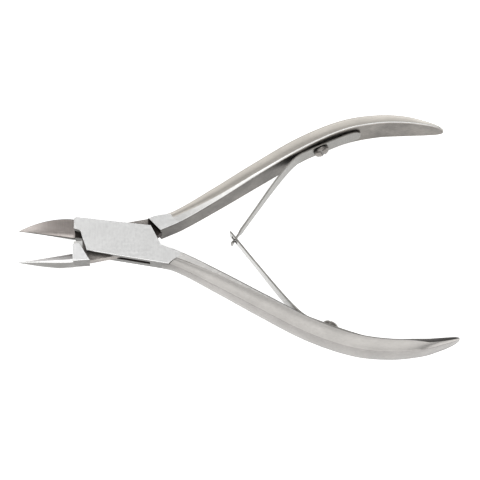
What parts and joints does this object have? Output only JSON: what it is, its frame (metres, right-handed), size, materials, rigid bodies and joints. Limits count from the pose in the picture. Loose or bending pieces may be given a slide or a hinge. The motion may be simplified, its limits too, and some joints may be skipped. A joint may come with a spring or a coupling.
{
  "type": "nail nipper",
  "caption": "Box-joint nail nipper: two forged plier halves with curved cutting jaws, held open by interlocking leaf springs.",
  "frame": {"origin": "on the pivot's axis, at the flat back face of the joint", "axes": "+X from the jaws to the handles, halfway between the handles at rest; +Z along the pivot's axis, from the back face to the front face"},
  "size_m": [0.1275, 0.0766, 0.0105],
  "materials": {
    "forged_steel": "satin-ground stainless steel, brighter on the ground faces and edges",
    "pin_steel": "ground stainless rivet pin",
    "spring_steel": "bright rolled spring strip",
    "screw_steel": "turned stainless screw"
  },
  "bodies": {
    "lower_arm": {"box_half": "forged_steel", "pivot_pin": "pin_steel", "lower_spring_root": "spring_steel", "lower_spring_screw": "screw_steel"},
    "upper_arm": {"inner_half": "forged_steel", "upper_spring_root": "spring_steel", "upper_spring_screw": "screw_steel"},
    "lower_leaf": {"lower_spring_leaf": "spring_steel"},
    "upper_leaf": {"upper_spring_leaf": "spring_steel"}
  },
  "joints": [
    {"name": "squeeze", "type": "hinge", "parent": "lower_arm", "child": "upper_arm", "pos_m": [0, 0, 0.00355], "axis": [0, 0, -1], "range_deg": [0, 18], "stiffness_Nm_per_rad": 2.5},
    {"name": "lower_leaf_flex", "type": "hinge", "parent": "lower_arm", "child": "lower_leaf", "pos_m": [0.05068, -0.02425, 0.00355], "axis": [0, 0, 1], "range_deg": [0, 13.1]},
    {"name": "upper_leaf_flex", "type": "hinge", "parent": "upper_arm", "child": "upper_leaf", "pos_m": [0.05068, 0.02425, 0.00355], "axis": [0, 0, -1], "range_deg": [0, 13.1]}
  ],
  "couplings": [
    {"joint": "lower_leaf_flex", "follows": "squeeze", "ratio": 0.725},
    {"joint": "upper_leaf_flex", "follows": "squeeze", "ratio": 0.725}
  ]
}
